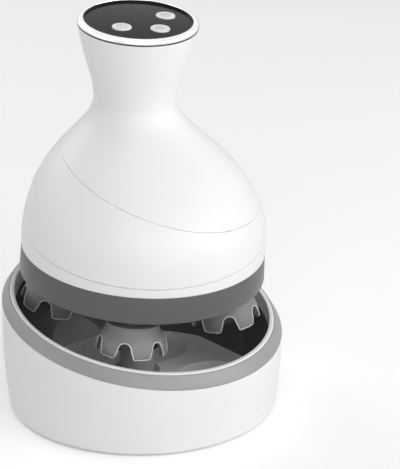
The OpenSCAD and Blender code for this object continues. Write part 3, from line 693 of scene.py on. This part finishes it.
cup = turned("massage_head", [
    (16.3, 0.0), (16.6, 0.5), (16.55, 1.6), (16.4, 3.0), (16.15, 4.3), (15.8, 5.6),
    (15.3, 6.9), (14.6, 8.2), (13.9, 9.3), (13.3, 10.2), (12.75, 11.2), (12.4, 12.2),
    (12.3, 13.0), (12.6, 13.2), (12.75, 13.5), (12.7, 13.9), (12.3, 14.15), (8.0, 14.3),
    (7.6, 14.8), (7.4, 16.6), (3.0, 16.6), (3.0, 9.5), (10.8, 9.4), (12.2, 8.2),
    (13.2, 6.8), (13.8, 4.6), (14.2, 2.0), (14.4, 0.0)], around=144)
for claw in range(CLAWS):
    cutter = arch_cutter()
    cutter.data.transform(Matrix.Rotation(math.radians(60 * claw + 30), 4, "Z"))
    modified(cup, "BOOLEAN", operation="DIFFERENCE", object=cutter)
    bpy.data.objects.remove(cutter)

# The bead: the skirt's outer cut edge is lifted off as a line and given a round section;
# its light grey is a painted highlight.
bpy.ops.object.mode_set(mode="EDIT")
bpy.ops.mesh.select_mode(type="EDGE")
bpy.ops.mesh.select_all(action="DESELECT")
bpy.ops.mesh.edges_select_sharp(sharpness=math.radians(40))
bpy.ops.object.mode_set(mode="OBJECT")
for edge in cup.data.edges:
    ends = [cup.data.vertices[v].co / MM for v in edge.vertices]
    edge.select = edge.select and all(
        p.z < ARCH_H + 0.5 and abs(math.hypot(p.x, p.y) - skirt_r(p.z)) < 0.25 for p in ends)
bpy.ops.object.mode_set(mode="EDIT")
bpy.ops.mesh.duplicate()
bpy.ops.mesh.separate(type="SELECTED")
bpy.ops.object.mode_set(mode="OBJECT")
painted_highlight_bead = [o for o in bpy.context.selected_objects if o != cup][0]
bpy.ops.object.select_all(action="DESELECT")
bpy.context.view_layer.objects.active = painted_highlight_bead
painted_highlight_bead.select_set(True)
bpy.ops.object.convert(target="CURVE")
painted_highlight_bead.data.bevel_depth = BEAD_R * MM
painted_highlight_bead.data.bevel_resolution = 2
bpy.ops.object.convert(target="MESH")
smoothed(cup, 40)
cup.data.materials.append(silicone.material)
painted_highlight_bead.data.materials.clear()
painted_highlight_bead.data.materials.append(painted_highlight_grey.material)

# Inside the claws a ring hides the hub; its dark colour is painted shade in the cup's hollow.
painted_shade_ring = turned("painted_shade_ring", [
    (11.0, 2.6), (11.9, 2.3), (12.5, 2.6), (12.6, 8.0), (11.4, 9.2), (10.6, 9.2)], around=96)
painted_shade_ring.data.materials.append(silicone_painted_shade)
smoothed(painted_shade_ring)
nubs = [painted_shade_ring]
for claw in range(CLAWS):
    for side in (-NUB_TURN, NUB_TURN):
        nub = turned("nub", [
            (0.05, -1.35), (0.4, -1.3), (0.6, -1.05), (0.66, -0.6), (0.68, 0.8), (0.05, 0.8)],
            around=16)
        nub.data.transform(Matrix.Rotation(math.radians(60 * claw + side), 4, "Z")
                           @ Matrix.Translation((NUB_RING_R * MM, 0, 0)))
        nub.data.materials.append(silicone.material)
        smoothed(nub)
        nubs.append(nub)
bpy.ops.object.select_all(action="DESELECT")
for part in [painted_highlight_bead] + nubs:
    part.select_set(True)
cup.select_set(True)
bpy.context.view_layer.objects.active = cup
bpy.ops.object.join()
for name, (azimuth, phase) in heads.items():
    head = cup.copy()
    head.data = cup.data.copy()
    head.name = name + "_silicone"
    scene.collection.objects.link(head)
    head.data.transform(
        ON_MASSAGER @ Matrix.Rotation(math.radians(azimuth), 4, "Z")
        @ Matrix.Translation((TIP_RING_R * MM, 0, -TIP_DROP * MM))
        @ Matrix.Rotation(-HEAD_SPLAY, 4, "Y") @ Matrix.Rotation(math.radians(phase), 4, "Z"))
    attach(head, name + "_head")
    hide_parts(name + "_head")
bpy.data.objects.remove(cup)


# ---------------------------------------------------------------------------
# What the massager and the dock hold inside: plates, gears, motor, cell,
# boards, contacts, screws and seals, each in the finish of its real material.

dark_plastic = moulded_plastic("dark_plastic", (0.05, 0.05, 0.052), 0.4, 1400.0, 0.000012)
black_rubber = moulded_plastic("black_rubber", (0.03, 0.03, 0.03), 0.7, 1800.0, 0.00002)
nylon = moulded_plastic("nylon", (0.72, 0.72, 0.66), 0.42, 1200.0, 0.00001)
wrap_blue = moulded_plastic("wrap_blue", (0.06, 0.16, 0.3), 0.3, 500.0, 0.00001)
board_green = moulded_plastic("board_green", (0.02, 0.14, 0.06), 0.3, 700.0, 0.00001)
turned_steel = Finish("turned_steel", {"Base Color": (0.6, 0.6, 0.62, 1), "Metallic": 1.0})
turned_steel.drive("Roughness", 0.22 + 0.16 * turned_steel.noise(300.0))
turned_steel.bump(turned_steel.noise(900.0), 0.000004)
plated_brass = Finish("plated_brass", {"Base Color": (0.83, 0.62, 0.28, 1), "Metallic": 1.0})
plated_brass.drive("Roughness", 0.2 + 0.14 * plated_brass.noise(300.0))
plated_brass.bump(plated_brass.noise(900.0), 0.000003)

inside = {
    post_grey: ("charging_post",),
    satin_grey: ("dock_base_plate",),
    dark_plastic: ("post_cap", "underside_plate", "post_socket", "button_switches"),
    black_rubber: ("dock_feet", "underside_gasket", "shaft_seals"),
    nylon: ("gearbox_deck", "gearbox_cover", "battery_cradle", "sun_gear",
            *(name + "_gear" for name in heads)),
    wrap_blue: ("battery_cell",),
    board_green: ("dock_circuit_board", "main_circuit_board", "button_board"),
    turned_steel.material: ("inlet_socket", "dock_screws", "underside_screws", "motor_can",
                            "motor_screws", "sun_gear_axle", "motor_armature",
                            *(name + "_shaft" for name in heads)),
    plated_brass.material: ("charging_pins", "socket_contacts", "motor_pinion"),
}
for material, names in inside.items():
    for name in names:
        nodes[name].data.materials.clear()
        nodes[name].data.materials.append(material)
